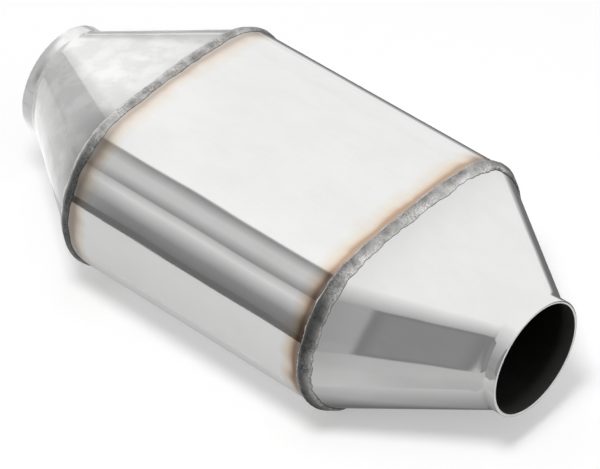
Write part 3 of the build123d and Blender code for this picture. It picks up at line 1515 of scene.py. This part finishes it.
    def build_end_wall(self) -> None:
        """Close the tent's inlet end with a plain wall."""
        mesh = bmesh.new()
        bmesh.ops.create_grid(mesh, x_segments=1, y_segments=1, size=2 * self.tent.radius)
        bmesh.ops.rotate(mesh, matrix=Matrix.Rotation(math.pi / 2, 3, "Y"), verts=mesh.verts)
        bmesh.ops.translate(mesh, vec=(-self.tent.reach, 0.0, 0.0), verts=mesh.verts)
        self.stage(mesh, "end_wall", self.glow("end_wall_glow", self.tent.end_grey), Seen.IN_METAL)

    def build_sheet(self, sheet: FloorSheet, name: str) -> None:
        """Lay a sheet on the floor where it is mirrored.

        Args:
            sheet: The sheet.
            name: Its name.
        """
        mesh = bmesh.new()
        depth = mesh.verts.layers.float.new("depth")
        (left, right), (near, far) = sheet.along, sheet.across
        left_shift, right_shift = (slant * (near - far) for slant in sheet.slants)
        near_shift, far_shift = (tilt * (right - left) for tilt in sheet.tilts)
        level = (self.floor_level + sheet.level * self.sheet_lift) * MM
        corners = [
            mesh.verts.new((left + left_shift, near, level)),
            mesh.verts.new((right + right_shift, near + near_shift, level)),
            mesh.verts.new((right, far + far_shift, level)),
            mesh.verts.new((left, far, level)),
        ]
        for corner in corners[2:]:
            corner[depth] = 1.0
        mesh.faces.new(corners)

        def dress(nodes: Nodes) -> None:
            """Shade the sheet from its near edge to its far one, and in from its inlet edge."""
            share = nodes.value("ShaderNodeAttribute", {"attribute_name": "depth"}, None, "Fac")
            seen = nodes.mix(share, (sheet.grey,) * 3, (sheet.far_grey,) * 3)
            if sheet.soft:
                along, _, _ = nodes.axes()
                inside = along.share(left / MM, (left + sheet.soft) / MM)
                seen = nodes.mix(inside, (self.floor_grey,) * 3, seen)
            self.glowing(nodes, seen)

        self.stage(mesh, name, material(f"{name}_glow", dress), Seen.IN_METAL)

    def build_card(self, card: Card, name: str) -> None:
        """Stand a card up where it is mirrored.

        Args:
            card: The card.
            name: Its name.
        """
        mesh = bmesh.new()
        bmesh.ops.create_grid(mesh, x_segments=self.card_cells, y_segments=self.card_cells, size=0.5)
        inset = mesh.verts.layers.float.new("inset")
        for corner in mesh.verts:
            corner[inset] = min((0.5 - abs(corner.co.x)) * card.width, (0.5 - abs(corner.co.y)) * card.height)
        bmesh.ops.scale(mesh, vec=(card.width, card.height, 1.0), verts=mesh.verts)
        turn = Vector(card.facing).to_track_quat("Z", "Y").to_matrix()
        turn @= Matrix.Rotation(math.radians(card.roll), 3, "Z")
        bmesh.ops.rotate(mesh, matrix=turn, verts=mesh.verts)
        bmesh.ops.translate(mesh, vec=card.centre, verts=mesh.verts)

        def dress(nodes: Nodes) -> None:
            """Darken the rim, and let the outermost edge fade out."""
            depth = nodes.value("ShaderNodeAttribute", {"attribute_name": "inset"}, None, "Fac")
            seen = nodes.mix(depth.share(card.fade, card.rim), (card.rim_grey,) * 3, (card.grey,) * 3)
            glow = nodes.add("ShaderNodeEmission", None, {"Color": seen, "Strength": 1.0})
            clear = nodes.add("ShaderNodeBsdfTransparent")
            edge = nodes.add(
                "ShaderNodeMixShader",
                None,
                {0: depth.share(0.0, card.fade), 1: clear.outputs[0], 2: glow.outputs[0]},
            )
            nodes.add("ShaderNodeOutputMaterial", None, {"Surface": edge.outputs[0]})

        self.stage(mesh, name, material(f"{name}_glow", dress), Seen.IN_METAL)

    def glow(self, name: str, grey: float) -> bpy.types.Material:
        """A material that glows in one plain grey."""
        return material(name, lambda nodes: self.glowing(nodes, (grey, grey, grey)))

    @staticmethod
    def glowing(nodes: Nodes, colour: Colour | bpy.types.NodeSocket) -> None:
        """Finish a material as a plain glow of a colour."""
        glow = nodes.add("ShaderNodeEmission", None, {"Color": nodes.full(colour), "Strength": 1.0})
        nodes.add("ShaderNodeOutputMaterial", None, {"Surface": glow.outputs[0]})

    @staticmethod
    def stage(
        mesh: bmesh.types.BMesh,
        name: str,
        finish: bpy.types.Material,
        seen: Seen = Seen.BY_ALL,
    ) -> None:
        """Turn a bmesh into a stage piece.

        Args:
            mesh: The mesh, which is freed.
            name: Its name.
            finish: Its material.
            seen: What meets it.
        """
        data = bpy.data.meshes.new(name)
        mesh.to_mesh(data)
        mesh.free()
        data.materials.append(finish)
        piece = bpy.data.objects.new(name, data)
        bpy.context.scene.collection.objects.link(piece)
        if seen is Seen.IN_METAL:
            piece.visible_camera = False
            piece.visible_diffuse = False
            piece.visible_shadow = False
            piece.visible_transmission = False

    def build_camera(self) -> None:
        """Stand the camera where the photograph was taken from, by its fit to the outlines."""
        azimuth, elevation, roll = math.radians(42.513), math.radians(42.664), math.radians(-1.128)
        distance, aside, lift, lens_pixels = 1837.94, 4.13, -9.31, 3973.54
        back = Vector(
            (
                math.sin(azimuth) * math.cos(elevation),
                -math.cos(azimuth) * math.cos(elevation),
                math.sin(elevation),
            )
        )
        right = Vector((math.cos(azimuth), math.sin(azimuth), 0.0))
        up = back.cross(right)
        right, up = (
            right * math.cos(roll) + up * math.sin(roll),
            up * math.cos(roll) - right * math.sin(roll),
        )
        place = (back * distance + right * aside + up * lift) * MM
        camera = bpy.data.cameras.new("camera")
        camera.sensor_fit = "HORIZONTAL"
        camera.sensor_width = self.sensor_width
        camera.lens = lens_pixels * self.sensor_width / self.photo_width
        camera.clip_end = self.far_clip
        holder = bpy.data.objects.new("camera", camera)
        axes = Matrix((right, up, back)).transposed().to_4x4()
        holder.matrix_world = Matrix.Translation(place) @ axes
        bpy.context.scene.collection.objects.link(holder)
        bpy.context.scene.camera = holder


def main() -> None:
    """Build every piece in order, then the studio."""
    logging.basicConfig(level=logging.INFO, format="%(message)s")
    body = Body()
    Casing(body).build()
    weld = material("weld_bead", WeldMetal().dress)
    for end in End:
        RingWeld(body, end, weld).build()
        dress_node(f"{end.label}_cone_seam_weld", weld)
    dress_node("can_seam_weld", weld)
    Bricks(body, material("brick_ceramic_washcoat", BrickCeramic().dress)).build()
    Packing().dress(bpy.data.materials["rolled_sheet"])
    Studio().build()


if __name__ == "__main__":
    main()
